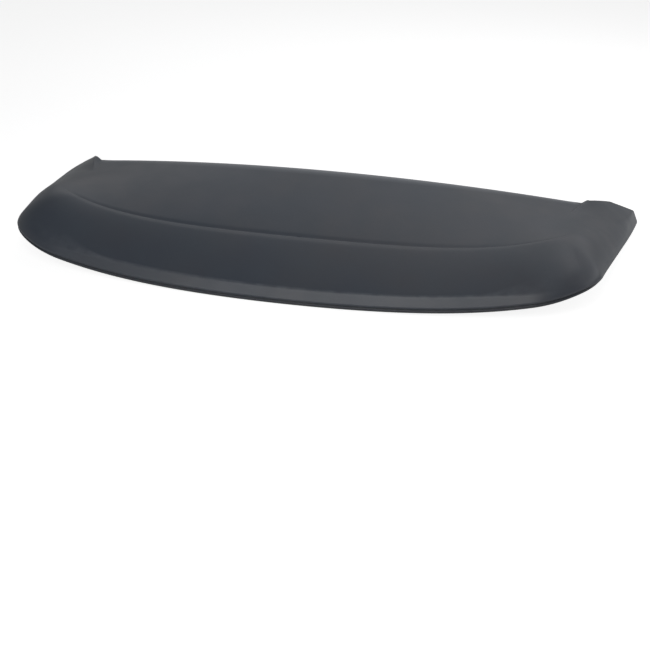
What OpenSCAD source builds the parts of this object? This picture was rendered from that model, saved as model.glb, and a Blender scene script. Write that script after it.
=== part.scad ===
// Car rear spoiler: one primed moulding, open underneath, that follows the top
// edge of a tailgate. All sizes are in millimetres. The shell is worked out
// from its edge lines: the front edge, the raised line around the sunken
// panel, and the crease that runs round both sides and the tail.
// The part stands on its two ear tips and the middle of its tail.

/* [Front edge and panel] */
// Half the width of the front edge between the two ears
panel_half_w = 549; // [480:1:580]
// How far the ends of the front edge stand forward of its middle
panel_sweep = 76; // [30:1:110]
// How far the ends of the front edge lie below its middle
panel_crown = 52; // [25:1:80]
// Fall of the panel just behind the front edge, in mm per 100 mm
panel_fall = 16.2; // [6:0.1:22]

/* [Raised line] */
// Distance from the front edge back to the raised line, on the middle
line_depth = 241; // [200:1:280]
// Half the width inside the raised line
line_half_w = 550; // [490:1:580]
// Where the raised line turns forwards, behind the front edge
line_turn = 128; // [80:1:150]
// Squareness of the raised line's corners
line_square = 2.9; // [2:0.1:3.2]
// Height of the raised line above the panel
line_h = 6; // [2:0.5:9]

/* [Ears] */
// Height of the step between the panel and an ear, at the front edge
step_h = 12; // [6:0.5:18]
// Half the width over the creases at the ear tips
ear_half_w = 662; // [620:1:700]
// How far the ear tips reach forward of the middle of the front edge
ear_reach = 240; // [180:1:280]
// How far the ear tips hang below the middle of the front edge
ear_drop = 122; // [105:1:150]
// Length of the step crease behind the front edge, as a share of the line
step_share = 0.13; // [0.08:0.01:0.18]

/* [Tail] */
// Distance from the front edge back to the tail crease, on the middle
tail_depth = 379; // [340:1:420]
// How far the tail crease lies below the front edge, on the middle
tail_drop = 114.6; // [95:1:130]
// Bow of the tail crease over 500 mm of half width
tail_bow = 45; // [20:1:70]
// Half the width where the sides meet the tail
corner_half_w = 610; // [585:1:640]
// How far the rear corners lie below the middle of the front edge
corner_drop = 62; // [45:1:85]
// Roundness of the rear corners
corner_blend = 124; // [90:1:160]

/* [Outer edge] */
// Height of the sloping edge below the crease
edge_h = 20.8; // [14:0.2:28]
// How far the sloping edge flares outwards
edge_flare = 13; // [6:0.2:18]
// Height of the lower lip under the tail
lip_h = 12.4; // [6:0.2:18]
// How far the lower lip leans in
lip_in = 7; // [0:0.5:9]
// Wall thickness of the moulding
wall_t = 4.5; // [3:0.1:6]
// Thickness of the front edge
front_t = 3; // [2.5:0.1:4]

/* [Hidden] */
cols = 60;
corner_y = -248;
// the panel falls panel_fall over fall_run, and fall_more over fall_span
// squared; the side values are what that gains towards the ends, by the
// square and the fourth power of the share of the way out
fall_run = 100;
fall_span = 300;
fall_more = 33.6;
fall_side = [-0.626, 0.396];
fall_more_side = [107.6, -149.6];
// soft first rise and full rise of the raised line, and of the ear step
line_soft = [5.5, 19];
line_run = 20;
step_run = [6, 14];
line_in = 18;
side_bulge = 9;
side_arch = 4.8;
bow_span = 500;
// the tail's height passes over to the side's height here
mix_y = -290;
mix_len = 18;
notch_run = [20, 6];
ear_knee = [613, 192];
knee_r = 8;
ear_sag = 9;
// the lower lip fades out before the corners
lip_end_y = -150;
lip_past = 20;
lip_fade = 43;
lip_least = 1.6;
crease_r = 4;
// the edge is this much higher at the ears
ear_more = 5;
// the edge leans out less round the corner and at the ear, and the crease is
// softer round the corner by this much above and below it
flare_corner = 0.5;
flare_ear = 0.8;
corner_soft = [24, 6];
lip_r = 2.5;
shell_grey = [0.27, 0.28, 0.30];

// share x of the way, eased at both ends
function ease(x) = let (t = min(max(x, 0), 1)) t * t * (3 - 2 * t);
function lerp(p, q, t) = p + (q - p) * t;
function at(xs, t) = lookup(t, xs);
function plan(p) = [p[0], p[1]];

// front edge seen from above, and its height
function front_y(x) = panel_sweep * pow(x / panel_half_w, 2);
function front_z(x) = -panel_crown * pow(x / panel_half_w, 2);

// height of the sunken panel at a plan point
function panel_z(x, y) =
    let (s = pow(x / panel_half_w, 2), d = front_y(x) - y,
         fall = panel_fall / fall_run + fall_side[0] * s + fall_side[1] * s * s,
         more = fall_more + fall_more_side[0] * s + fall_more_side[1] * s * s)
    front_z(x) - fall * d - more * pow(d / fall_span, 2);

// raised line seen from above: s from 0 to 1 is its round part, from 1 to 2
// the part beside the panel, up to the notch at the ear
function line_raw(s) =
    s <= 1
    ? [line_half_w * pow(sin(90 * s), 2 / line_square),
       -line_turn - (line_depth - line_turn)
           * pow(max(cos(90 * s), 0), 2 / line_square)]
    : let (g = s - 1)
      [lerp(line_half_w, panel_half_w, g) - line_in * pow(sin(180 * g), 2),
       lerp(-line_turn, panel_sweep, g)];

// crease seen from above: s from 0 at the tail to 1 at the ear tip, as the
// blended minimum of a side line and a bowed tail
function crease_raw(s) =
    let (a = lerp(-90, atan2(ear_reach, ear_half_w), s),
         c = cos(a), n = sin(a),
         m = (ear_half_w - corner_half_w) / (ear_reach - corner_y),
         k = min(max(n * 2.2 + 0.1, -1), 1),
         b = corner_half_w - m * corner_y + side_bulge * (1 - k * k),
         r1 = b / max(c - m * n, 1e-6),
         q = tail_bow / pow(bow_span, 2) * c * c,
         r2 = q > 1e-9
            ? (n + sqrt(n * n + 4 * q * tail_depth)) / (2 * q)
            : -tail_depth / min(n, -1e-6),
         h = min(max(0.5 + 0.5 * (r1 - r2) / corner_blend, 0), 1),
         r = lerp(r1, r2, h) - corner_blend * h * (1 - h))
    [r * c, r * n];

// a walked line becomes two tables, x and y, over its share of length
function walked(p, i = 1, sum = [0]) =
    i == len(p) ? sum
    : walked(p, i + 1, concat(sum, [sum[i - 1] + norm(p[i] - p[i - 1])]));
function table(p) =
    let (s = walked(p), n = len(p) - 1)
    [[for (i = [0:n]) [s[i] / s[n], p[i][0]]],
     [for (i = [0:n]) [s[i] / s[n], p[i][1]]]];
line_tab = table([for (i = [0:240]) line_raw(i / 120)]);
crease_tab = table([for (i = [0:240]) crease_raw(i / 240)]);
function line_xy(a) = [at(line_tab[0], a), at(line_tab[1], a)];
function crease_share(a) = 0.81 * a + 0.19 * a * a * a;
function crease_xy(a) =
    let (s = crease_share(a)) [at(crease_tab[0], s), at(crease_tab[1], s)];

// crease height: a straight run along the side, flatter across the tail
function crease_z(p) =
    let (q = min(max((p[1] - corner_y) / (ear_reach - corner_y), 0), 1),
         t = min(p[0] / corner_half_w, 1),
         side = -lerp(corner_drop, ear_drop, q) + side_arch * 4 * q * (1 - q),
         rear = -lerp(tail_drop, corner_drop, 0.25 * t * t + 0.75 * pow(t, 4)),
         w = 1 / (1 + exp((mix_y - p[1]) / mix_len)))
    lerp(rear, side, w);

// outward direction of the crease, seen from above
function out_dir(a) =
    let (d = crease_xy(min(a + 0.002, 1)) - crease_xy(max(a - 0.002, 0)))
    [d[1], -d[0]] / norm(d);

// front edge of an ear from the notch to the tip, seen from above
notch = [panel_half_w, panel_sweep];
ear_tab = [for (e = [[0, notch], [0.1, notch + notch_run],
                     [0.58, ear_knee - knee_r * [0.4, 1]], [0.63, ear_knee],
                     [0.69, ear_knee + knee_r * [1, 0.9]], [1, [ear_half_w, ear_reach]]])
           [e[0], e[1][0], e[1][1]]];
function ear_xy(w) =
    [at([for (e = ear_tab) [e[0], e[1]]], w), at([for (e = ear_tab) [e[0], e[2]]], w)];

// height of the raised line and of the ear step at share a of the line
function line_rise(a) = line_h * (1 - ease((a - 0.61) / 0.1));
function step_rise(a) = step_h * pow(ease((a - 1 + step_share) / step_share), 0.8);

// surface between the raised line and the crease; w runs from 0 to 1
function band(a, w) =
    let (u = line_xy(a), c = crease_xy(a), len_uc = norm(c - u), d = (c - u) / len_uc,
         g = pow(max((a - 0.8) / 0.2, 0), 2),
         p = lerp(u, c, w) + g * (ear_xy(w) - lerp(line_xy(1), crease_xy(1), w)),
         z0 = panel_z(u[0], u[1]),
         m0 = panel_z(u[0] + d[0] / 2, u[1] + d[1] / 2) - panel_z(u[0] - d[0] / 2, u[1] - d[1] / 2),
         rl = line_rise(a), rs = step_rise(a), top = z0 + rl + rs, q = w * len_uc,
         lift = rl * (0.55 * ease(q / line_soft[0]) + 0.45 * ease(q / line_soft[1]))
              + rs * ease(q / (step_run[0] + step_run[1] * ease((a - 0.85) / 0.15))))
    [p[0], p[1],
     top + m0 * len_uc * w + (crease_z(c) - top - m0 * len_uc) * w * w
         - (rl + rs - lift) - ear_sag * 4 * w * (1 - w) * g];

// surface between the front edge and the raised line; r runs from 0 to 1
function panel(a, r) =
    let (x = panel_half_w * (1.25 * a - 0.25 * a * a * a),
         p = lerp([x, front_y(x)], line_xy(a), r))
    [p[0], p[1], panel_z(p[0], p[1])];

// how far the sloping edge leans out at share a
function flare(a) =
    edge_flare * lerp(1, lerp(flare_corner, flare_ear, ease((a - 0.72) / 0.28)),
                      ease((a - 0.5) / 0.2));

function edge_height(a) = edge_h + ear_more * ease((a - 0.8) / 0.2);

// 1 round the corner, where the crease is soft, and 0 elsewhere
function softness(a) = ease((a - 0.4) / 0.2) * (1 - ease((a - 0.76) / 0.18));

// three points that round a corner at p between two directions
function rounded(p, before, after, t) =
    [p - before * t, p - before * t * 0.25 + after * t * 0.25, p + after * t];

// how much of the lower lip is left at a crease point
function lip_share(c) =
    c[1] > lip_end_y ? 0 : ease((corner_half_w + lip_past - c[0]) / lip_fade);

// one section of the shell, once round: outside first, then back inside
panel_rows = [0, 0.1, 0.25, 0.42, 0.6, 0.76, 0.9, 1];
line_rows = [0.09, 0.18, 0.275, 0.45, 0.7, 1] * line_run;
band_rows = [0.2, 0.4, 0.6, 0.8];
function section(a) =
    let (u = line_xy(a), c2 = crease_xy(a), width = norm(c2 - u), w0 = line_run / width,
         o = out_dir(a), c = band(a, 1),
         o3 = [o[0], o[1], 0], edge = o3 * flare(a) - [0, 0, edge_height(a)],
         down = edge / norm(edge), b = c + edge,
         lip = (lip_h * lip_share(c) + lip_least) * [0, 0, -1] - o3 * lip_in * lip_share(c),
         s = b + lip, tlip = lip / norm(lip), t2 = min(lip_r, 0.4 * norm(lip)),
         stop = 1 - (crease_r + corner_soft[0] * softness(a)) / width,
         above = band(a, stop),
         below = c + down * (crease_r + corner_soft[1] * softness(a)))
    concat(
        [for (r = panel_rows) panel(a, r)],
        [for (q = line_rows) band(a, q / width)],
        [for (g = band_rows) band(a, lerp(w0, stop, g))],
        [above, (above + 2 * c + below) / 4, below],
        rounded(b, down, tlip, t2),
        rounded(s, tlip, -o3, t2),
        [s - o3 * wall_t, b - o3 * wall_t * 1.05, c - o3 * wall_t * 0.9 - [0, 0, wall_t]],
        [for (i = [3:-1:0]) band(a, lerp(w0, 1, band_rows[i])) - [0, 0, wall_t]],
        [band(a, 0.5 * w0) - [0, 0, wall_t], panel(a, 1) - [0, 0, wall_t]],
        [for (r = [0.8, 0.6, 0.4, 0.2, 0])
            panel(a, r) - [0, 0, lerp(front_t, wall_t, ease(r / 0.2))]]);

half = [for (i = [0:cols]) section(i / cols)];
rows = len(half[0]);
n_panel = len(panel_rows);
n_out = n_panel + len(line_rows) + len(band_rows) + 9;
n_in_panel = 6;
function flip(p) = [-p[0], p[1], p[2]];
pts = [for (k = [-cols:cols]) for (p = half[abs(k)]) k < 0 ? flip(p) : p];

// at the two notches the panel rows meet in one point, above and below
function id(k, j) =
    let (jj = abs(k) < cols ? j : j < n_panel ? 0 : j >= rows - n_in_panel ? rows - 1 : j)
    (k + cols) * rows + jj;
function real_face(f) = f[0] != f[1] && f[1] != f[2] && f[0] != f[2];
skin = [for (k = [-cols:cols - 1]) for (j = [0:rows - 1])
    let (m = (j + 1) % rows, p = id(k, j), q = id(k + 1, j), r = id(k + 1, m), s = id(k, m))
    for (f = (k < 0 ? [[p, q, s], [q, r, s]] : [[p, q, r], [p, r, s]]))
        if (real_face(f)) f];

// the cut front face of an ear, a strip between outside and inside
out_j = [for (j = [n_panel - 1:n_out - 1]) j];
in_j = [for (j = [rows - n_in_panel:-1:n_out]) j];
out_s = walked([for (j = out_j) half[cols][j]]);
in_s = walked([for (j = in_j) half[cols][j]]);
function strip(i = 0, j = 0) =
    i == len(out_j) - 1 && j == len(in_j) - 1 ? []
    : j == len(in_j) - 1 || (i < len(out_j) - 1
        && out_s[i + 1] / out_s[len(out_s) - 1] <= in_s[j + 1] / in_s[len(in_s) - 1])
    ? concat([[out_j[i], out_j[i + 1], in_j[j]]], strip(i + 1, j))
    : concat([[out_j[i], in_j[j + 1], in_j[j]]], strip(i, j + 1));
cut = strip();
caps = concat([for (f = cut) [id(cols, f[0]), id(cols, f[2]), id(cols, f[1])]],
              [for (f = cut) [id(-cols, f[0]), id(-cols, f[1]), id(-cols, f[2])]]);

ys = [for (p = pts) p[1]];
zs = [for (p = pts) p[2]];
home = [0, -(min(ys) + max(ys)) / 2, -min(zs)];

module spoiler_shell()
    color(shell_grey)
    polyhedron(points = [for (p = pts) p + home],
               faces = concat(skin, caps), convexity = 6);

spoiler_shell();
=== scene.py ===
# %% [markdown]
# # A car's rear spoiler in satin grey primer
# The real part is one thin plastic moulding. It lies over the top edge of a
# tailgate: a sunken panel in the middle, a soft raised line round it, two ears
# that reach forwards, and a sloping edge with a small bead along the tail. It
# is sold sprayed with grey primer, ready for the car's own paint.
#
# The CAD model fixes the size and the place. Here the same edge lines are
# drawn again with many more points, so that light runs over the skin smoothly.

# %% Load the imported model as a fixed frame
import math

import bpy
import numpy as np
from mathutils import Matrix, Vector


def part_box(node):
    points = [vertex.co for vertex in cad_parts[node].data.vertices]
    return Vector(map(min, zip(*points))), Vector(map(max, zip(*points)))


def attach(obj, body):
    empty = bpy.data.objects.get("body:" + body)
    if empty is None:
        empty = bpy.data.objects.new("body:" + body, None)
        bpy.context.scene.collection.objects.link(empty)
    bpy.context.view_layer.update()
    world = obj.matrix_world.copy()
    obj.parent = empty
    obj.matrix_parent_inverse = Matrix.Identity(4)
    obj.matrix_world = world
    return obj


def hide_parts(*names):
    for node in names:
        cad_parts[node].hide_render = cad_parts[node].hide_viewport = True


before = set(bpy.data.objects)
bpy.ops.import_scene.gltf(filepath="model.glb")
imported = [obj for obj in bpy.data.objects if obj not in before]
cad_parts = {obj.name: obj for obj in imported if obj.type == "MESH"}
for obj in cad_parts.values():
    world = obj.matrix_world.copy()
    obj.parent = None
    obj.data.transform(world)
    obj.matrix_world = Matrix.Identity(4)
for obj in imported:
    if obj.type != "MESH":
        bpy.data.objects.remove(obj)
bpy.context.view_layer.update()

NODE = "spoiler_shell"

# %% [markdown]
# ## Sizes
# A moulding like this is described by a few edge lines, so the sizes are those
# of the lines, in millimetres. They are the CAD model's own sizes, apart from
# three roundings that were set again here: those of the raised line
# (line_soft), of the steps beside the ears (step_run) and of the crease round
# the corners (corner_soft). Every point is worked out in millimetres from the
# middle of the front edge, and turned to metres at the end.

# %% Sizes of the moulding
MM = 0.001
# the panel: its half width, and how far its ends sweep forwards and drop
panel_half_w, panel_sweep, panel_crown = 549, 76, 52
# its fall towards the tail, and how that changes towards its ends
panel_fall, fall_run, fall_span = 16.2, 100, 300
fall_more, fall_side, fall_more_side = 33.6, (-0.626, 0.396), (107.6, -149.6)
# the raised line: how far back and out it goes, where it turns forwards, and
# how square its curve is; then its height, its drawn-in sides and its two runs
line_depth, line_half_w, line_turn, line_square = 241, 550, 128, 2.9
line_h, line_in, line_soft = 6, 18, (8, 21)
# the step beside an ear: its height, its share of the line, and its run,
# which grows by the second number towards the ear
step_h, step_share, step_run = 12, 0.13, (6, 12)
# the ears: reach, drop and sag, the knee of their front edge, and the notch
ear_half_w, ear_reach, ear_drop, ear_sag = 662, 240, 122, 9
ear_knee, knee_r, notch_run = (613, 192), 8, (20, 6)
# the tail and the corners, where the tail's crease melts into the side's
tail_depth, tail_drop, tail_bow, bow_span = 379, 114.6, 45, 500
corner_half_w, corner_drop, corner_blend, corner_y = 610, 62, 124, -248
side_bulge, side_arch, mix_y, mix_len = 9, 4.8, -290, 18
# the sloping edge below the crease: how high it is and how far it leans out
edge_h, edge_flare, crease_r, ear_more = 20.8, 13, 4, 5
flare_corner, flare_ear, corner_soft = 0.5, 0.8, (44, 12)
# the lip under the tail, and where it fades out at the sides
lip_h, lip_in, lip_r, lip_least = 12.4, 7, 2.5, 1.6
lip_end_y, lip_past, lip_fade = -150, 20, 43
# the wall, and the wall at the front edge
wall_t, front_t = 4.5, 3
print("half width over the creases, mm:", ear_half_w)


# %% Helpers for shares of a way
def ease(t):
    """Share t of the way, eased at both ends."""
    t = np.clip(t, 0, 1)
    return t * t * (3 - 2 * t)


def grow(a, start, run):
    """0 up to start, then eased to 1 over run."""
    return ease((a - start) / run)


def lerp(p, q, t):
    return p + (q - p) * t


def unit(v):
    """Vectors of length one, along the last axis."""
    size = np.linalg.norm(v, axis=-1, keepdims=True)
    return v / np.maximum(size, 1e-9)


print("a quarter of the way, eased:", float(ease(0.25)))

# %% [markdown]
# ## The edge lines, seen from above
# The front edge is a shallow parabola. The raised line is a superellipse, a
# curve between an ellipse and a rectangle, that turns forwards beside the
# panel. The crease, where the top turns down into the sloping edge, is a
# straight side and a bowed tail that melt into each other at the corner. Each
# line is walked once and then asked for by its share of length, so that the
# points lie evenly along it.

# %% Edge lines
COLUMNS = 200          # sections from the middle to an ear tip
WALK = 4001            # points that a line is walked with
FRONT_PACE = 1.25, -0.25       # how fast x grows along the front edge
CREASE_PACE = 0.81, 0.19       # closer sections round the corner
BULGE_FROM = 2.2, 0.1          # where along the side it bulges


def walked(points):
    """A line's share of length at each of its points, and the points."""
    steps = np.linalg.norm(np.diff(points, axis=0), axis=1)
    share = np.concatenate([[0], np.cumsum(steps)])
    return share / share[-1], points


def paced(a, pace):
    """Share a of the sections, turned to a share of a line."""
    return pace[0] * a + pace[1] * a ** 3


def on_line(line, share):
    return np.stack([np.interp(share, line[0], line[1][:, k]) for k in (0, 1)], -1)


def front_edge(x):
    """Plan y and height of the front edge."""
    s = (x / panel_half_w) ** 2
    return panel_sweep * s, -panel_crown * s


def raised_line():
    s = np.linspace(0, 1, WALK)
    turn = np.radians(90 * s)
    power = 2 / line_square
    bow = np.stack([line_half_w * np.sin(turn) ** power,
                    -line_turn - (line_depth - line_turn)
                    * np.maximum(np.cos(turn), 0) ** power], -1)
    side = np.stack([lerp(line_half_w, panel_half_w, s)
                     - line_in * np.sin(np.pi * s) ** 2,
                     lerp(-line_turn, panel_sweep, s)], -1)
    return walked(np.concatenate([bow, side[1:]]))


def crease_line():
    """The smooth minimum of a side line and a bowed tail, by angle."""
    last = math.degrees(math.atan2(ear_reach, ear_half_w))
    turn = np.radians(np.linspace(-90, last, WALK))
    c, n = np.cos(turn), np.sin(turn)
    lean = (ear_half_w - corner_half_w) / (ear_reach - corner_y)
    k = np.clip(n * BULGE_FROM[0] + BULGE_FROM[1], -1, 1)
    base = corner_half_w - lean * corner_y + side_bulge * (1 - k * k)
    side = base / np.maximum(c - lean * n, 1e-6)
    q = tail_bow / bow_span ** 2 * c * c
    bowed = (n + np.sqrt(n * n + 4 * q * tail_depth)) / np.maximum(2 * q, 1e-12)
    tail = np.where(q > 1e-9, bowed, -tail_depth / np.minimum(n, -1e-6))
    h = np.clip(0.5 + 0.5 * (side - tail) / corner_blend, 0, 1)
    r = lerp(side, tail, h) - corner_blend * h * (1 - h)
    return walked(np.stack([r * c, r * n], -1))


line_walk, crease_walk = raised_line(), crease_line()
share = np.linspace(0, 1, COLUMNS + 1)


def crease_xy(a):
    return on_line(crease_walk, paced(a, CREASE_PACE))


print("raised line, half its length in mm:",
      round(float(np.linalg.norm(np.diff(line_walk[1], axis=0), axis=1).sum())))

# %% [markdown]
# ## Heights
# The panel falls gently behind the front edge and more steeply towards the
# tail, and less at its ends. The crease has its own height: nearly level
# across the tail, then rising round the corner and falling again to the ears.
# Between the two, the skin leaves the panel at the panel's own slope and bends
# to the crease, as one soft curve.

# %% Heights of the panel and the crease
LINE_FADE = 0.61, 0.1          # where the raised line fades, and over what share
EAR_FROM = 0.8, 0.2            # where the ear begins, and its share


def panel_z(x, y):
    s = (x / panel_half_w) ** 2
    y_front, z_front = front_edge(x)
    d = y_front - y
    fall = panel_fall / fall_run + fall_side[0] * s + fall_side[1] * s * s
    more = fall_more + fall_more_side[0] * s + fall_more_side[1] * s * s
    return z_front - fall * d - more * (d / fall_span) ** 2


def crease_z(p):
    q = np.clip((p[..., 1] - corner_y) / (ear_reach - corner_y), 0, 1)
    t = np.minimum(p[..., 0] / corner_half_w, 1)
    side = -lerp(corner_drop, ear_drop, q) + side_arch * 4 * q * (1 - q)
    rear = -lerp(tail_drop, corner_drop, 0.25 * t * t + 0.75 * t ** 4)
    return lerp(rear, side, 1 / (1 + np.exp((mix_y - p[..., 1]) / mix_len)))


def line_rise(a):
    return line_h * (1 - grow(a, *LINE_FADE))


def step_rise(a):
    return step_h * ease((a - 1 + step_share) / step_share) ** 0.8


print("middle of the tail lies below the front edge by, mm:",
      round(float(-crease_z(crease_xy(np.zeros(1)))[0]), 1))


# %% The skin between the edge lines
def ear_xy(w):
    """Front edge of an ear from the notch to the tip."""
    notch = np.array([panel_half_w, panel_sweep])
    knee = np.array(ear_knee)
    corners = np.array([notch, notch + notch_run, knee - np.array([0.4, 1]) * knee_r,
                        knee, knee + np.array([1, 0.9]) * knee_r,
                        [ear_half_w, ear_reach]])
    at = [0, 0.1, 0.58, 0.63, 0.69, 1]
    return np.stack([np.interp(w, at, corners[:, k]) for k in (0, 1)], -1)


def flatten(p):
    """Plan points with their panel height."""
    return np.concatenate([p, panel_z(p[..., 0], p[..., 1])[..., None]], -1)


def panel(a, r):
    """Skin between the front edge (r = 0) and the raised line (r = 1)."""
    x = panel_half_w * paced(a, FRONT_PACE)
    front = np.stack([x, front_edge(x)[0]], -1)
    return flatten(lerp(front, on_line(line_walk, a), r[..., None]))


def band(a, w):
    """Skin from the raised line (w = 0) to the crease (w = 1), at full rise."""
    u, c = on_line(line_walk, a), crease_xy(a)
    length = np.linalg.norm(c - u, axis=-1)
    d = (c - u) / length[..., None]
    g = np.maximum((a - EAR_FROM[0]) / EAR_FROM[1], 0) ** 2
    end = on_line(line_walk, np.ones_like(a)), crease_xy(np.ones_like(a))
    p = (lerp(u, c, w[..., None])
         + g[..., None] * (ear_xy(w) - lerp(end[0], end[1], w[..., None])))
    ahead, behind = u + d / 2, u - d / 2
    slope = (panel_z(ahead[..., 0], ahead[..., 1])
             - panel_z(behind[..., 0], behind[..., 1])) * length
    top = panel_z(u[..., 0], u[..., 1]) + line_rise(a) + step_rise(a)
    z = (top + slope * w + (crease_z(c) - top - slope) * w * w
         - ear_sag * 4 * w * (1 - w) * g)
    return np.concatenate([p, z[..., None]], -1)


print("the skin's middle behind the raised line, mm:",
      np.round(band(np.zeros(1), np.array([0.5]))[0], 1))


# %% The sloping edge, along the part
def flare(a):
    """How far the sloping edge leans out: less round the corner and the side."""
    side = lerp(flare_corner, flare_ear, grow(a, 0.72, 0.28))
    return edge_flare * lerp(1, side, grow(a, 0.5, 0.2))


def edge_height(a):
    """Height of the sloping edge: a little more at the ears."""
    return edge_h + ear_more * grow(a, *EAR_FROM)


def softness(a):
    """1 round the corner, where the crease is soft, and 0 elsewhere."""
    return grow(a, 0.4, 0.2) * (1 - grow(a, 0.78, 0.2))


def out_dir(a):
    """Level direction outwards from the crease."""
    d = crease_xy(np.minimum(a + 0.002, 1)) - crease_xy(np.maximum(a - 0.002, 0))
    d = unit(d)
    return np.stack([d[..., 1], -d[..., 0], np.zeros_like(a)], -1)


print("the sloping edge is high, mm:", edge_h, "at the tail and",
      float(edge_height(1.0)), "at an ear")

# %% [markdown]
# ## One section, once round
# A thin moulding is easiest to read as a section that changes along the part:
# over the top from the rounded front edge to the bead of the lip, and back
# inside, one wall thickness lower. Rows are close together where the skin
# turns sharply (the front edge, the raised line, the crease, the bead) and far
# apart where it is almost flat. Just behind the front edge the skin rolls over
# by less than a millimetre, as moulded edges do. Every outside row has its own
# inside row, which later closes the cut ears with plain four-sided faces.

# %% Rows of the section
# shares of the way from the front edge to the raised line
panel_rows = 1 - np.array([0.996, 0.991, 0.985, 0.975, 0.94, 0.89, 0.83, 0.76, 0.69,
                           0.62, 0.55, 0.48, 0.41, 0.345, 0.285, 0.23, 0.18, 0.14,
                           0.108, 0.082, 0.062, 0.046, 0.034, 0.025, 0.018, 0.012,
                           0.006, 0])
# millimetres past the raised line, then shares of the rest up to the crease
line_rows = np.array([0.8, 1.6, 2.4, 3.2, 4, 4.8, 5.6, 6.8, 8.2, 10, 12, 14.5, 17, 20])
band_rows = np.linspace(0, 1, 19)[1:]
NOSE = 6               # steps round the front edge
FILLET = 9             # steps round the crease
BEAD = 8               # steps round the bead
# the groove on the lip's face: depth, width and place; the bead below it
groove_d, groove_w, groove_at = 1.6, 3.0, 1.8
bead_swell, rim_r = 2.8, 2.2
# how far the skin rolls down at the front edge, and over how much of it
roll_drop, roll_run = 0.9, 7
NOTCH_THIN = 0.04      # share of the sections over which the wall thins
WALL_IN = 0.9, 1.05    # the inner wall at the crease and below it, in walls
INNER_FOLLOWS = 0.3    # how much of a rounding the inside repeats
THICKENS = 0.2, 8      # where the wall is full: a share of the panel, and mm
STOP_IN = 9, 0.8       # where the inner skin stops short of the crease
FAR = 120              # a distance that counts as far past the raised line
ROLL_END = 0.1         # share of the sections over which the roll fades
up = np.array([0, 0, 1.0])
print("rows on the panel:", len(panel_rows), "past the line:",
      len(line_rows) + len(band_rows))


# %% Helpers for soft corners
def rounded(p, before, after, reach, n):
    """n points that round the corner at p, from one direction to the next."""
    return bent(p - before * reach, before * reach, p + after * reach, after * reach, n)


def bent(start, leave, end, arrive, n):
    """n points of a soft bend from start to end, with its two directions."""
    t = np.linspace(0, 1, n)[:, None, None]
    p, q = start + leave * 2 / 3, end - arrive * 2 / 3
    return list((1 - t) ** 3 * start + 3 * t * (1 - t) ** 2 * p
                + 3 * t * t * (1 - t) * q + t ** 3 * end)


def roll_off(a, dist):
    """Drop of the skin where it rolls over to the front edge."""
    near_edge = np.clip(1 - dist / roll_run, 0, 1)
    return roll_drop * near_edge ** 2 * ease((1 - a) / ROLL_END)


def lip_share(c):
    fade = ease((corner_half_w + lip_past - c[:, 0]) / lip_fade)
    return np.where(c[:, 1] > lip_end_y, 0, fade)[:, None]


print("roll at the middle of the front edge, mm:", float(roll_off(0.0, 0.0)))


# %% Rows of the panel and of the raised line
outside, inside, row_kind = [], [], []


def row(outer, inner, name, dist=0.0):
    """One row of points along the part, outside and inside, and what it is."""
    outside.append(outer)
    inside.append(inner)
    row_kind.append((name, dist))


ones = np.ones_like(share)
width = np.linalg.norm(crease_xy(share) - on_line(line_walk, share), axis=-1)
depth = np.linalg.norm(panel(share, ones) - panel(share, 0 * ones), axis=-1)
open_end = ease((1 - share) / NOTCH_THIN)       # the wall thins to the notch
for r in panel_rows:
    top = panel(share, r * ones) - up * roll_off(share, r * depth)[:, None]
    thick = lerp(front_t, wall_t, ease(r / THICKENS[0]) * open_end)
    row(top, top - up * thick[:, None], "panel")
for q in line_rows:
    top = band(share, q / width)
    thick = lerp(front_t, wall_t, np.maximum(open_end, ease(q / THICKENS[1])))
    row(top, top - up * thick[:, None], "band", q)
print("rows up to the end of the raised line:", len(outside))

# %% [markdown]
# ## The crease and the sloping edge
# The crease is a plain small rounding along the tail and at the ear tips. Round
# the corners and along the sides it opens out into a large soft one, where a
# hand hardly feels an edge. A bevel has one width, so the rounding is drawn as a
# bend between two directions, the skin's and the sloping edge's, whose reach
# grows and shrinks along the part.

# %% Corner points of the edge and the lip
outward = out_dir(share)
crease = band(share, ones)
slant = outward * flare(share)[:, None] - up * edge_height(share)[:, None]
down = unit(slant)
foot = crease + slant
lip_here = lip_share(crease)
lip = -up * (lip_h * lip_here + lip_least) - outward * lip_in * lip_here
turn = unit(lip)
lip_end = foot + lip
crease_in = crease - outward * wall_t * WALL_IN[0] - up * wall_t
foot_in = foot - outward * wall_t * WALL_IN[1]
lip_end_in = lip_end - outward * wall_t
print("sloping edge, longest in mm:",
      round(float(np.linalg.norm(slant, axis=-1).max()), 1))

# %% Rows up to the crease, round it and down the sloping edge
soft = softness(share)
soft_up = crease_r + corner_soft[0] * soft
soft_down = (crease_r + corner_soft[1] * soft)[:, None]
stop = 1 - soft_up / width
stop_in = 1 - (STOP_IN[0] + STOP_IN[1] * corner_soft[0] * soft) / width
w0 = line_rows[-1] / width
for g in band_rows:
    inner = band(share, lerp(w0, stop_in, g)) - up * wall_t
    row(band(share, lerp(w0, stop, g)), inner, "band", lerp(line_rows[-1], FAR, g))
start = band(share, stop)
leave = unit(start - band(share, stop - 0.01)) * soft_up[:, None]
for p in bent(start, leave, crease + down * soft_down, down * soft_down, FILLET)[1:]:
    row(p, crease_in + INNER_FOLLOWS * (p - crease), "crease")
lip_long = np.linalg.norm(lip, axis=-1, keepdims=True)
reach = np.minimum(lip_r, 0.4 * lip_long)
slant_long = np.linalg.norm(slant, axis=-1, keepdims=True)
for t in (0.2, 0.4, 0.6, 0.8):
    span = lerp(soft_down, slant_long - reach, t)
    row(crease + down * span, lerp(crease_in, foot_in, t * ones[:, None]), "edge")
for p in rounded(foot, down, turn, reach, FILLET):
    row(p, foot_in + INNER_FOLLOWS * (p - foot), "rim")
print("rows up to the foot of the sloping edge:", len(outside))

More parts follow.
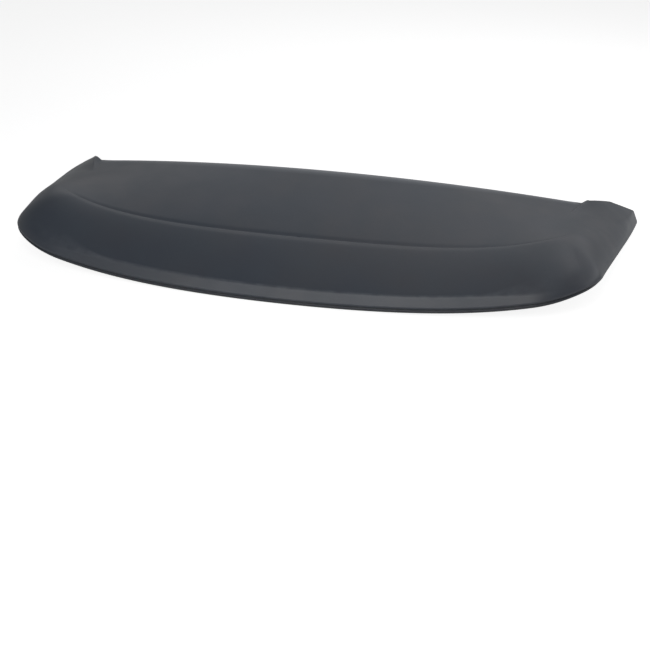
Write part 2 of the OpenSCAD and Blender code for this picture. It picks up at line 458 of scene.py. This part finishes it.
# %% [markdown]
# ## The lip
# Under the sloping edge the tail turns in to a small lip, with a fine groove
# and a rounded bead that ends the wall. The groove is a bell curve and the bead
# a half wave, both pushed along the outward direction, which is easier to tune
# than a drawn profile. Where the lip fades out at the sides, both fade with it.

# %% Rows of the lip's face and round the bead
rim = np.minimum(rim_r, 0.3 * lip_long)
for t in (0.06, 0.12, 0.18, 0.24, 0.3, 0.37, 0.46, 0.58, 0.7, 0.84, 1):
    span = lerp(reach, lip_long - rim, t)
    bell = np.exp(-((span - reach - groove_at) / groove_w * 2) ** 2)
    wave = np.sin(np.pi * np.clip((t - 0.26) / 0.74, 0, 1))
    push = bead_swell * lip_here * wave - groove_d * lip_here * bell
    row(foot + turn * span + outward * push, lerp(foot_in, lip_end_in, 0.9 * t), "lip")
middle = (lip_end + lip_end_in) / 2 - turn * rim
for f in np.radians(np.linspace(12, 90, BEAD)):
    low = middle + turn * rim * math.sin(f)
    half = outward * wall_t / 2 * math.cos(f)
    row(low + half, low - half, "bead")
outside, inside = np.array(outside), np.array(inside)
print("rows outside:", len(row_kind), "columns on one side:", len(share))

# %% [markdown]
# ## The front edge and the cut ears
# A moulding never ends in a knife edge. The front edge is half round, and the
# front faces of the ears get a small rounding where the skin meets the face.
# Both are drawn as extra rows and columns, because a bevel modifier would also
# catch the fine rows of the raised line.

# %% Rounded front edge and ear faces
nose_r, ear_round = 1.6, 1.3


def nose(a):
    """Rows round the front edge, from the top to the underside."""
    x = panel_half_w * paced(a, FRONT_PACE)
    ahead = unit(np.stack([-2 * panel_sweep * x / panel_half_w ** 2,
                           np.ones_like(x)], -1))
    tip = panel(a, np.zeros_like(a))
    forward = unit(tip - flatten(tip[:, :2] - ahead))
    tip = tip - up * roll_off(a, 0 * a)[:, None]
    reach = nose_r * np.clip((1 - a) / 0.02, 0, 1)[:, None]
    rows = []
    for f in np.radians(np.linspace(90, -90, NOSE + 1)):
        high = np.where(a > 0.9999, np.where(f > 0, 1.0, -1.0), math.sin(f))[:, None]
        rows.append(tip - forward * reach * (1 - math.cos(f))
                    + up * (high - 1) * front_t / 2)
    return np.array(rows)


def round_ears(ring_out, ring_in, kind):
    """Four columns that round an ear's front face, in place of the last one."""
    tip_out, tip_in = ring_out[:, -1], ring_in[:, -1]
    to_out = unit(tip_out - ring_out[:, -2])
    to_in = unit(tip_in - ring_in[:, -2])
    through = unit(tip_in - tip_out)
    size = np.array([ear_round * (0 if k == "panel" else
                                  min(d / 5, 1) if k == "band" else 1)
                     for k, d in kind])
    gap = np.linalg.norm(tip_in - tip_out, axis=-1)
    size = np.minimum(size, gap * 0.4)[:, None]
    cols_out, cols_in = [ring_out[:, :-1]], [ring_in[:, :-1]]
    for f in np.radians([0, 30, 60, 90]):
        back, sink = size * (1 - math.sin(f)), size * (1 - math.cos(f))
        cols_out.append((tip_out - to_out * back + through * sink)[:, None])
        cols_in.append((tip_in - to_in * back - through * sink)[:, None])
    return np.concatenate(cols_out, 1), np.concatenate(cols_in, 1)


front_rows = nose(share)
outside, inside = round_ears(outside, inside, row_kind)
front_rows = np.concatenate([front_rows] + [front_rows[:, -1:]] * 3, 1)
share_of_column = np.concatenate([share, [1.0] * 3])
print("columns with the rounded ears:", outside.shape[1])

# %% [markdown]
# ## The mesh
# The rows make one closed ring for each column: the front edge, the outside,
# the bead, and the inside on the way back. Neighbouring rings are joined with
# four-sided faces. The half is then mirrored by writing the same ring with x
# turned round, so no mirror modifier has to be applied. Each point also
# carries a few numbers, such as its distance from the raised line, for the
# next steps.

# %% Rings, with what each point knows about itself
ring = np.concatenate([front_rows[::-1], outside, inside[:-1][::-1]], 0)
kinds = [("nose", 0.0)] * (NOSE + 1) + row_kind + row_kind[:-1][::-1]
ROWS, COLS = ring.shape[:2]
is_inside = np.array([0.0] * (NOSE + 1 + len(row_kind)) + [1.0] * (len(row_kind) - 1))
OFF_LINE = -1000       # a distance far ahead of the raised line

near = slice(None, None, 2)
line_points, line_share = line_walk[1][near], line_walk[0][near]
line_dist = np.zeros((ROWS, COLS))
line_up = np.zeros((ROWS, COLS))
step_up = np.zeros((ROWS, COLS))
for j, (kind, dist) in enumerate(kinds):
    if kind == "panel":
        gap = np.linalg.norm(ring[j][:, None, :2] - line_points[None], axis=-1)
        nearest = gap.argmin(1)
        line_dist[j] = -gap.min(1)
        line_up[j] = line_rise(line_share[nearest])
    elif kind == "band":
        line_dist[j] = dist
        line_up[j] = line_rise(share_of_column)
        step_up[j] = step_rise(share_of_column)
    else:
        line_dist[j] = OFF_LINE
step_w = step_run[0] + step_run[1] * grow(share_of_column, 0.85, 0.15)
print("points round the section:", ROWS, "raised line, widest rise in mm:",
      float(line_up.max()))

# %% [markdown]
# ## Thin primer, painted highlights and painted shade
# Sprayed primer draws back from a sharp edge, so the crease, the rims and the
# cut ears get a number that later makes them a little paler; that paleness is
# also a painted highlight along the edges. The rim of the front edge is the
# palest, over its first two centimetres: a painted highlight on the rounded
# edge. The lip's face turns down and is painted half bare, as painted shade.
# These are numbers on the points and not image textures, so they follow the
# edges by themselves.

# %% Masks for the finish
# painted shade: the lip's face and the bead are mixed halfway to the dark bare plastic
lip_painted_shade = {"lip": 0.5, "bead": 0.5}
bare_abs_and_painted_shade = np.maximum(is_inside, [lip_painted_shade.get(k[0], 0.0) for k in kinds])
# how pale each sort of edge becomes, from thin primer and a painted highlight
# (strongest at the front edge, the nose), and how much of that a soft crease loses
edge_of = {"nose": 1.6, "crease": 1.0, "rim": 0.7, "bead": 0.2}
SOFT_LOSS, EAR_PALE = 0.9, 0.5
# reach, power and end of the painted highlight on the front edge's rim
rim_highlight_reach, RIM_HIGHLIGHT_POWER, RIM_HIGHLIGHT_END = 20, 1.4, 0.05
edge_wear_and_highlight = np.zeros((ROWS, COLS))
for name, strength in edge_of.items():
    rows_of = [j for j, k in enumerate(kinds) if k[0] == name and not is_inside[j]]
    ramp = np.sin(np.pi * np.linspace(0.1, 0.9, len(rows_of)))
    sharp = 1 - SOFT_LOSS * softness(share_of_column) if name == "crease" else 1.0
    edge_wear_and_highlight[rows_of] = strength * ramp[:, None] * sharp
# painted highlight: the rim of the front edge is painted pale, fading over its first
# two centimetres
painted_rim_highlight = np.zeros((ROWS, COLS))
for j, (kind, dist) in enumerate(kinds):
    if kind in ("nose", "panel") and not is_inside[j] and j >= NOSE // 2:
        from_front = np.linalg.norm(ring[j] - ring[NOSE], axis=-1)
        painted_rim_highlight[j] = np.clip(1 - from_front / rim_highlight_reach, 0, 1) ** RIM_HIGHLIGHT_POWER
        painted_rim_highlight[j] *= ease((1 - share_of_column) / RIM_HIGHLIGHT_END)
edge_wear_and_highlight[:, -3:] = np.maximum(edge_wear_and_highlight[:, -3:], EAR_PALE) * (1 - is_inside[:, None])
print("rows with a pale front rim:", int((painted_rim_highlight.max(1) > 0.01).sum()))

# %% The points, mirrored and brought to their place
box_low, box_high = [np.array(v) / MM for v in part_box(NODE)]


def both_sides(grid, flip=False):
    """A half grid written for both sides of the middle."""
    left = grid[:, :0:-1].copy()
    if flip:
        left[..., 0] *= -1
    return np.concatenate([left, grid], 1)


points = both_sides(ring, flip=True)
home = np.array([0, (box_low[1] + box_high[1]) / 2
                 - (points[..., 1].min() + points[..., 1].max()) / 2,
                 box_low[2] - points[..., 2].min()])
points = (points + home) * MM
TOTAL = points.shape[1]
print("points along the part:", TOTAL)


# %% The faces, with the ears closed
def at(j, k):
    return (j % ROWS) * TOTAL + k


faces = [(at(j, k), at(j + 1, k), at(j + 1, k + 1), at(j, k + 1))
         for j in range(ROWS) for k in range(TOTAL - 1)]
first = NOSE + 1 + len(panel_rows) - 1          # the notch's row
bottom = NOSE + len(row_kind)                   # the bead's lowest row
for j in range(first, bottom):
    m = ROWS + NOSE - j                         # the inside row under row j
    around = [j, m] + ([m - 1] if m - 1 > bottom else []) + [j + 1]
    faces.append([at(n, 0) for n in around])
    faces.append([at(n, TOTAL - 1) for n in around[::-1]])

mesh = bpy.data.meshes.new("spoiler_moulding")
mesh.from_pydata(points.reshape(-1, 3).tolist(), [], faces)
print("mesh points:", len(mesh.vertices), "faces:", len(mesh.polygons))


# %% Numbers kept on the points
def note(name, grid, scale=1.0):
    """Keep one number per point on the mesh."""
    layer = mesh.attributes.new(name, "FLOAT", "POINT")
    layer.data.foreach_set("value", (both_sides(grid) * scale).reshape(-1).astype("f"))


note("line_dist", line_dist, MM)
note("line_rise", line_up, MM)
note("step_rise", step_up, MM)
note("step_run", np.broadcast_to(step_w, (ROWS, COLS)), MM)
# the bare inside, and painted shade on the lip and the bead
note("inside", np.broadcast_to(bare_abs_and_painted_shade[:, None], (ROWS, COLS)))
note("edge", edge_wear_and_highlight)
note("painted_rim_highlight", painted_rim_highlight)
print("kept on the points:",
      [a.name for a in mesh.attributes if a.data_type == "FLOAT"])

# %% [markdown]
# ## Merge what meets in one point
# At each notch the rows of the panel run together. Merging by distance joins
# those points, and drops the faces that have no area left. The volume's sign
# then tells whether the faces look outwards: a negative one would mean that
# every face has to be turned.

# %% Clean up with bmesh
import bmesh

SAME_POINT, NO_LENGTH = 1e-6, 1e-7      # metres
bm = bmesh.new()
bm.from_mesh(mesh)
before = len(bm.verts)
bmesh.ops.remove_doubles(bm, verts=bm.verts, dist=SAME_POINT)
bmesh.ops.dissolve_degenerate(bm, edges=bm.edges, dist=NO_LENGTH)
if bm.calc_volume(signed=True) < 0:
    bmesh.ops.reverse_faces(bm, faces=bm.faces)
open_edges = sum(1 for e in bm.edges if len(e.link_faces) != 2)
print("points merged:", before - len(bm.verts), "open or shared edges:", open_edges,
      "volume in litres:", round(bm.calc_volume(signed=True) * 1000, 3))
bm.to_mesh(mesh)
bm.free()
spoiler = bpy.data.objects.new("spoiler_moulding", mesh)
bpy.context.scene.collection.objects.link(spoiler)

# %% [markdown]
# ## One helper for nodes
# Node trees are long to write out, so one small function adds a node, sets its
# properties, and fills or links its inputs. It serves Geometry Nodes and
# materials alike.

# %% Helper for node trees
def add(tree, kind, inputs=None, **settings):
    node = tree.nodes.new(kind)
    for key, value in settings.items():
        setattr(node, key, value)
    for key, value in (inputs or {}).items():
        if isinstance(value, bpy.types.NodeSocket):
            tree.links.new(value, node.inputs[key])
        else:
            node.inputs[key].default_value = value
    return node


def srgb(code):
    """A colour written as a web hex code, turned to linear light."""
    parts = [int(code[i:i + 2], 16) / 255 for i in (1, 3, 5)]
    return [c / 12.92 if c <= 0.04045 else ((c + 0.055) / 1.055) ** 2.4
            for c in parts] + [1.0]


print("the primer's grey in linear light:", [round(v, 3) for v in srgb("#4c525c")[:3]])

# %% [markdown]
# ## The raised line
# On the real part the panel is sunk a few millimetres below the skin around it,
# and a soft shoulder follows the curve of the panel's edge. It is one profile
# along one path, which is what Geometry Nodes do well: each point knows its
# distance from the line, and the tree lowers it by that profile. The shoulder
# rises fast over the first millimetres and then eases out, with a faint dip at
# its foot that catches the shade. The steps beside the ears are made by the
# same tree. The sizes are inputs, so a sharper or softer line is one number.

# %% Geometry Nodes: sink the panel along the raised line
JUST_AHEAD = -0.000001          # metres, so that the line itself counts as raised
FAST_SHARE = 0.55               # of the rise, taken in the fast run
FOOT_DIP, FOOT_RUN, FOOT_END = 0.0012, 0.011, 0.004      # metres


def raised_line_tree():
    tree = bpy.data.node_groups.new("Raised line", "GeometryNodeTree")
    face = tree.interface
    face.new_socket("Geometry", in_out="INPUT", socket_type="NodeSocketGeometry")
    sizes = [("Fast run", line_soft[0] * MM), ("Full run", line_soft[1] * MM),
             ("Fast share", FAST_SHARE), ("Foot dip", FOOT_DIP),
             ("Foot run", FOOT_RUN), ("Foot end", FOOT_END)]
    for name, value in sizes:
        socket = face.new_socket(name, in_out="INPUT", socket_type="NodeSocketFloat")
        socket.default_value = value
    face.new_socket("Finish", in_out="INPUT", socket_type="NodeSocketMaterial")
    face.new_socket("Geometry", in_out="OUTPUT", socket_type="NodeSocketGeometry")
    given = add(tree, "NodeGroupInput").outputs

    def known(name):
        return add(tree, "GeometryNodeInputNamedAttribute", {"Name": name},
                   data_type="FLOAT").outputs[0]

    def math_node(operation, a, b):
        return add(tree, "ShaderNodeMath", {0: a, 1: b}, operation=operation).outputs[0]

    def eased(value, start, end):
        return add(tree, "ShaderNodeMapRange",
                   {"Value": value, "From Min": start, "From Max": end},
                   interpolation_type="SMOOTHSTEP").outputs["Result"]

    dist, rise = known("line_dist"), known("line_rise")
    fast = math_node("MULTIPLY", eased(dist, 0.0, given["Fast run"]),
                     given["Fast share"])
    rest = math_node("SUBTRACT", 1.0, given["Fast share"])
    slow = math_node("MULTIPLY", eased(dist, 0.0, given["Full run"]), rest)
    sunk = math_node("SUBTRACT", 1.0, math_node("ADD", fast, slow))
    on_band = math_node("GREATER_THAN", dist, JUST_AHEAD)
    line_drop = math_node("MULTIPLY", math_node("MULTIPLY", rise, sunk), on_band)
    step_drop = math_node("MULTIPLY", known("step_rise"),
                          math_node("SUBTRACT", 1.0,
                                    eased(dist, 0.0, known("step_run"))))
    foot_start = math_node("MULTIPLY", given["Foot run"], -1.0)
    foot = math_node("SUBTRACT", eased(dist, foot_start, 0.0),
                     eased(dist, 0.0, given["Foot end"]))
    share_here = math_node("DIVIDE", rise, line_h * MM)
    dip = math_node("MULTIPLY", math_node("MULTIPLY", foot, share_here),
                    given["Foot dip"])
    down = math_node("ADD", math_node("ADD", line_drop, step_drop), dip)
    offset = add(tree, "ShaderNodeCombineXYZ",
                 {"Z": math_node("MULTIPLY", down, -1.0)}).outputs[0]
    moved = add(tree, "GeometryNodeSetPosition",
                {"Geometry": given["Geometry"], "Offset": offset}).outputs[0]
    smooth = add(tree, "GeometryNodeSetShadeSmooth", {0: moved}).outputs[0]
    real = add(tree, "GeometryNodeRealizeInstances", {0: smooth}).outputs[0]
    done = add(tree, "GeometryNodeSetMaterial",
               {"Geometry": real, "Material": given["Finish"]}).outputs[0]
    add(tree, "NodeGroupOutput", {"Geometry": done})
    print("nodes in the tree:", len(tree.nodes))
    return tree


line_tree = raised_line_tree()

# %% [markdown]
# ## The finish: grey primer on a moulded plastic
# Spoilers like this are moulded in ABS and sprayed with a two-part grey
# primer. Sprayed primer gives the eye four things. It is a cool dark grey that
# drifts a little, warmer and cooler, from pass to pass of the spray gun. It is
# satin: it shows soft lights and no mirror image. Its skin has a faint orange
# peel. And it is thinner on sharp edges, which look a touch paler; that paleness
# is also a painted highlight along the edges. The rim of the front edge is
# palest of all, as a painted highlight. The inside is bare moulded ABS, darker
# and rougher, and the lip's face is painted halfway between the two, as painted
# shade on a face that turns down.

# %% Material: satin grey primer over moulded ABS
PEEL_MM = 6.0          # real orange peel is 1 to 3 mm; drawn coarser, to show
GRAIN_MM = 1.6         # primer grain is under 0.1 mm; drawn as coarse as it needs
DRIFT_MM = 190.0       # one pass of a spray gun
CLOUD_MM = 65.0        # blotches within a pass
WEAR_MM = 22.0         # how the thin primer and the painted edge highlight come and go along an edge
BARE_MM = 9.0          # the flow of the bare plastic
SATIN = 0.36, 0.42     # roughness of the primer, over its blotches
BARE_ROUGHER = 0.16    # how much rougher the bare inside is
SPECKLE = 0.16         # how far the grain lightens and darkens the tone
PEEL_H, GRAIN_H = 0.00025, 0.00008      # metres, the heights of both textures


def per_metre(size_mm):
    """A texture's scale, from the size of one of its features."""
    return 1 / (size_mm * MM)


def primer_material():
    mat = bpy.data.materials.new("satin_grey_primer_on_abs")
    mat.use_nodes = True
    tree = mat.node_tree
    tree.nodes.clear()
    where = add(tree, "ShaderNodeTexCoord").outputs["Object"]

    def noise(size_mm, detail=2.0, rough=0.5):
        return add(tree, "ShaderNodeTexNoise",
                   {"Vector": where, "Scale": per_metre(size_mm), "Detail": detail,
                    "Roughness": rough}).outputs["Fac"]

    def blend(factor, a, b, mode="MIX"):
        return add(tree, "ShaderNodeMix", {0: factor, 6: a, 7: b}, data_type="RGBA",
                   blend_type=mode).outputs[2]

    def fit(value, low, high, start=0.0, end=1.0):
        return add(tree, "ShaderNodeMapRange",
                   {"Value": value, "From Min": low, "From Max": high,
                    "To Min": start, "To Max": end}).outputs["Result"]

    drift = fit(noise(DRIFT_MM, 1.0), 0.35, 0.65)
    cloud = fit(noise(CLOUD_MM, 2.0), 0.3, 0.7)
    grain = noise(GRAIN_MM, 2.0, 0.6)
    tone = blend(drift, srgb("#4c525c"), srgb("#51545b"))
    tone = blend(fit(cloud, 0, 1, 0.0, 0.5), tone, srgb("#4b535c"))
    speck = add(tree, "ShaderNodeMath", {0: grain, 1: 0.5},
                operation="SUBTRACT").outputs[0]
    speck = add(tree, "ShaderNodeMath", {0: speck, 1: SPECKLE, 2: 1.0},
                operation="MULTIPLY_ADD").outputs[0]
    speck_colour = add(tree, "ShaderNodeCombineColor",
                       {0: speck, 1: speck, 2: speck}).outputs[0]
    tone = blend(1.0, tone, speck_colour, "MULTIPLY")

    # paler edges: partly thin primer, partly a painted highlight along the edges
    edge = add(tree, "ShaderNodeAttribute", attribute_name="edge").outputs["Fac"]
    patchy_pale = fit(noise(WEAR_MM, 3.0), 0.3, 0.7, 0.1, 0.5)
    wear_and_painted_highlight = add(tree, "ShaderNodeMath", {0: edge, 1: patchy_pale},
               operation="MULTIPLY").outputs[0]
    tone = blend(wear_and_painted_highlight, tone, srgb("#757980"))

    # painted highlight along the rim of the front edge, in a pale grey
    rim_highlight = add(tree, "ShaderNodeAttribute",
               attribute_name="painted_rim_highlight").outputs["Fac"]
    tone = blend(rim_highlight, tone, srgb("#9ea2a8"))

    # bare ABS on the inside; on the lip and the bead, a half mix of it as painted shade
    inner = add(tree, "ShaderNodeAttribute", attribute_name="inside").outputs["Fac"]
    bare_abs_and_painted_shade = blend(fit(noise(BARE_MM, 3.0), 0.35, 0.65), srgb("#2c2e31"), srgb("#33353a"))
    colour = blend(inner, tone, bare_abs_and_painted_shade)

    rougher = fit(inner, 0.5, 1, 0, BARE_ROUGHER)
    satin = add(tree, "ShaderNodeMath", {0: fit(cloud, 0, 1, *SATIN), 1: rougher},
                operation="ADD").outputs[0]
    peel = add(tree, "ShaderNodeBump",
               {"Height": noise(PEEL_MM, 1.0), "Strength": 0.2,
                "Distance": PEEL_H}).outputs[0]
    fine = add(tree, "ShaderNodeBump",
               {"Height": grain, "Strength": 0.3, "Distance": GRAIN_H,
                "Normal": peel}).outputs[0]
    shader = add(tree, "ShaderNodeBsdfPrincipled",
                 {"Base Color": colour, "Roughness": satin, "Normal": fine,
                  "IOR": 1.5})
    add(tree, "ShaderNodeOutputMaterial", {0: shader.outputs[0]})
    print(mat.name, "has", len(tree.nodes), "nodes")
    return mat


primer = primer_material()

# %% [markdown]
# ## Run the tree and keep its result
# The modifier's inputs are set by their identifiers before the object is first
# worked out. The result is then taken as a plain mesh and the modifier is
# removed, so that the mesh holds what the tree made.

# %% Apply the tree
modifier = spoiler.modifiers.new("Raised line", "NODES")
modifier.node_group = line_tree
names = {item.name: item.identifier for item in line_tree.interface.items_tree
         if item.item_type == "SOCKET" and item.in_out == "INPUT"}
modifier[names["Finish"]] = primer
evaluated = spoiler.evaluated_get(bpy.context.evaluated_depsgraph_get())
finished = bpy.data.meshes.new_from_object(evaluated)
spoiler.modifiers.clear()
spoiler.data = finished
finished.name = "spoiler_moulding"
for name in ("line_dist", "line_rise", "step_rise", "step_run"):
    finished.attributes.remove(finished.attributes[name])
if primer.name not in finished.materials:
    finished.materials.clear()
    finished.materials.append(primer)
print("triangles:", sum(len(p.vertices) - 2 for p in finished.polygons),
      "materials:", [m.name for m in finished.materials])

# %% Hand the piece to the frame
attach(spoiler, "root")
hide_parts(NODE)
print(spoiler.name, "stands for", NODE)

# %% [markdown]
# ## Floor and lights
# The part lies on a white studio floor that curves up all round, like a shallow
# bowl, so every view has the same plain ground. The floor is white to the
# camera, and more weakly to reflections, by its own material, and it keeps the
# part's shadow. The light is soft and comes from nine large boxes, none of them
# strong. The two in front of the part's front edge graze the panel, which is
# palest there and darkens as it falls away. The three over the tail light the
# sloping edge below the crease. The four on the right lift that side, and they
# are large, so that no hard highlight shows on the rounded corner. The camera
# sees no lamp.

# %% Floor
PAPER_GLOW = 0.88      # with the light that falls on it, the paper comes to white
GLOSS_SHARE = 0.28     # how much of that glow the satin skin mirrors
flat_r, bend_r, wall_top = 3.6, 2, 3.4          # the bowl, in metres


def studio_floor():
    bend = [(flat_r + bend_r * math.sin(t), bend_r - bend_r * math.cos(t))
            for t in np.radians(range(10, 91, 10))]
    profile = [(0, 0), (flat_r, 0)] + bend + [(flat_r + bend_r, wall_top)]
    turns = 96
    circle = [(math.cos(2 * math.pi * k / turns), math.sin(2 * math.pi * k / turns))
              for k in range(turns)]
    verts = [(r * c, r * n, z) for r, z in profile[1:] for c, n in circle] + [(0, 0, 0)]
    n = len(profile) - 1
    quads = [(i * turns + k, i * turns + (k + 1) % turns,
              (i + 1) * turns + (k + 1) % turns, (i + 1) * turns + k)
             for i in range(n - 1) for k in range(turns)]
    fans = [(len(verts) - 1, k, (k + 1) % turns) for k in range(turns)]
    shape = bpy.data.meshes.new("studio_floor")
    shape.from_pydata(verts, [], fans + quads)
    shape.polygons.foreach_set("use_smooth", [True] * len(shape.polygons))
    floor = bpy.data.objects.new("studio_floor", shape)
    bpy.context.scene.collection.objects.link(floor)
    mat = bpy.data.materials.new("white_studio_paper")
    mat.use_nodes = True
    tree = mat.node_tree
    tree.nodes.clear()
    paper = add(tree, "ShaderNodeBsdfDiffuse", {"Color": srgb("#bcbcbc")})
    glow = add(tree, "ShaderNodeEmission", {"Color": [1, 1, 1, 1], "Strength": 1.0})
    rays = add(tree, "ShaderNodeLightPath").outputs
    gloss = add(tree, "ShaderNodeMath", {0: rays["Is Glossy Ray"], 1: GLOSS_SHARE},
                operation="MULTIPLY").outputs[0]
    seen = add(tree, "ShaderNodeMath", {0: rays["Is Camera Ray"], 1: gloss},
               operation="MAXIMUM").outputs[0]
    seen = add(tree, "ShaderNodeMath", {0: seen, 1: rays["Is Transmission Ray"]},
               operation="MAXIMUM").outputs[0]
    share_white = add(tree, "ShaderNodeMath", {0: seen, 1: PAPER_GLOW},
                      operation="MULTIPLY").outputs[0]
    tree.links.new(share_white, glow.inputs["Strength"])
    both = add(tree, "ShaderNodeAddShader", {0: paper.outputs[0], 1: glow.outputs[0]})
    add(tree, "ShaderNodeOutputMaterial", {0: both.outputs[0]})
    shape.materials.append(mat)
    return floor


floor = studio_floor()
print("floor across, in metres:", round(floor.dimensions.x, 2))

# %% Lights
LAMP_AWAY, AIM_UP = 3.0, 0.08           # metres: to a lamp, and up to its aim


def soft_box(name, azimuth, elevation, width, height, watts):
    """A rectangular lamp that looks at the part; azimuth 0 is the tail's side."""
    az, el = math.radians(azimuth), math.radians(elevation)
    lamp = bpy.data.lights.new(name, "AREA")
    lamp.shape = "RECTANGLE"
    lamp.size, lamp.size_y, lamp.energy = width, height, watts
    box = bpy.data.objects.new(name, lamp)
    bpy.context.scene.collection.objects.link(box)
    box.location = (LAMP_AWAY * math.sin(az) * math.cos(el),
                    -LAMP_AWAY * math.cos(az) * math.cos(el),
                    AIM_UP + LAMP_AWAY * math.sin(el))
    aim = box.location.copy()
    aim.z -= AIM_UP
    box.rotation_euler = aim.to_track_quat("Z", "Y").to_euler()
    box.visible_camera = False
    return box


# name, azimuth, elevation, width, height, watts
lamps = [
    ("box_tail_left", -20, 30, 1.1, 1.1, 10.4),
    ("box_tail_mid", -3, 38, 0.7, 1.2, 5),
    ("box_tail_right", 9, 38, 0.6, 1.2, 10.5),
    ("box_front", 190, 30, 3.4, 1.2, 5.3),
    ("box_front_high", 190, 52, 2.4, 1.2, 6.2),
    ("box_front_right", 142, 34, 1.4, 1.6, 4.6),
    ("box_top_right", 135, 68, 1.8, 1.3, 9.8),
    ("box_right", 104, 16, 3.0, 1.1, 10.2),
    ("box_right_high", 96, 42, 2.6, 1.3, 6.2),
]
for lamp in lamps:
    soft_box(*lamp)
print("lamps:", [lamp[0] for lamp in lamps])

# %% World
world = bpy.data.worlds.new("studio")
bpy.context.scene.world = world
world.use_nodes = True
SKY_STRENGTH = 0.04
sky = world.node_tree.nodes["Background"].inputs
sky["Color"].default_value = srgb("#c9d2e0")
sky["Strength"].default_value = SKY_STRENGTH
print("world strength:", SKY_STRENGTH)

# %% [markdown]
# ## Camera
# The photograph was taken from behind the tail, a little to the right and
# about 26 degrees above level, with a long lens. The part fills the upper half
# of the frame, so the camera looks at a point below it.

# %% Camera
from mathutils import Matrix, Vector

PHOTO_AZ, PHOTO_EL, PHOTO_DIST = 13.16, 25.86, 3.5
LENS_MM, ROLL = 84.09, 0.447
target = np.array([-0.00314, 0.09068, -0.23469])
az, el = math.radians(PHOTO_AZ), math.radians(PHOTO_EL)
toward = np.array([math.sin(az) * math.cos(el), -math.cos(az) * math.cos(el),
                   math.sin(el)])
camera_data = bpy.data.cameras.new("camera")
camera_data.lens, camera_data.sensor_width = LENS_MM, 36
camera_data.clip_end = 50
camera = bpy.data.objects.new("camera", camera_data)
bpy.context.scene.collection.objects.link(camera)
look = Vector(toward).to_track_quat("Z", "Y").to_matrix().to_4x4()
camera.matrix_world = (Matrix.Translation(Vector(target + PHOTO_DIST * toward)) @ look
                       @ Matrix.Rotation(math.radians(ROLL), 4, "Z"))
bpy.context.scene.camera = camera
bpy.context.scene.view_settings.view_transform = "Standard"
print("camera at", [round(v, 3) for v in camera.location])
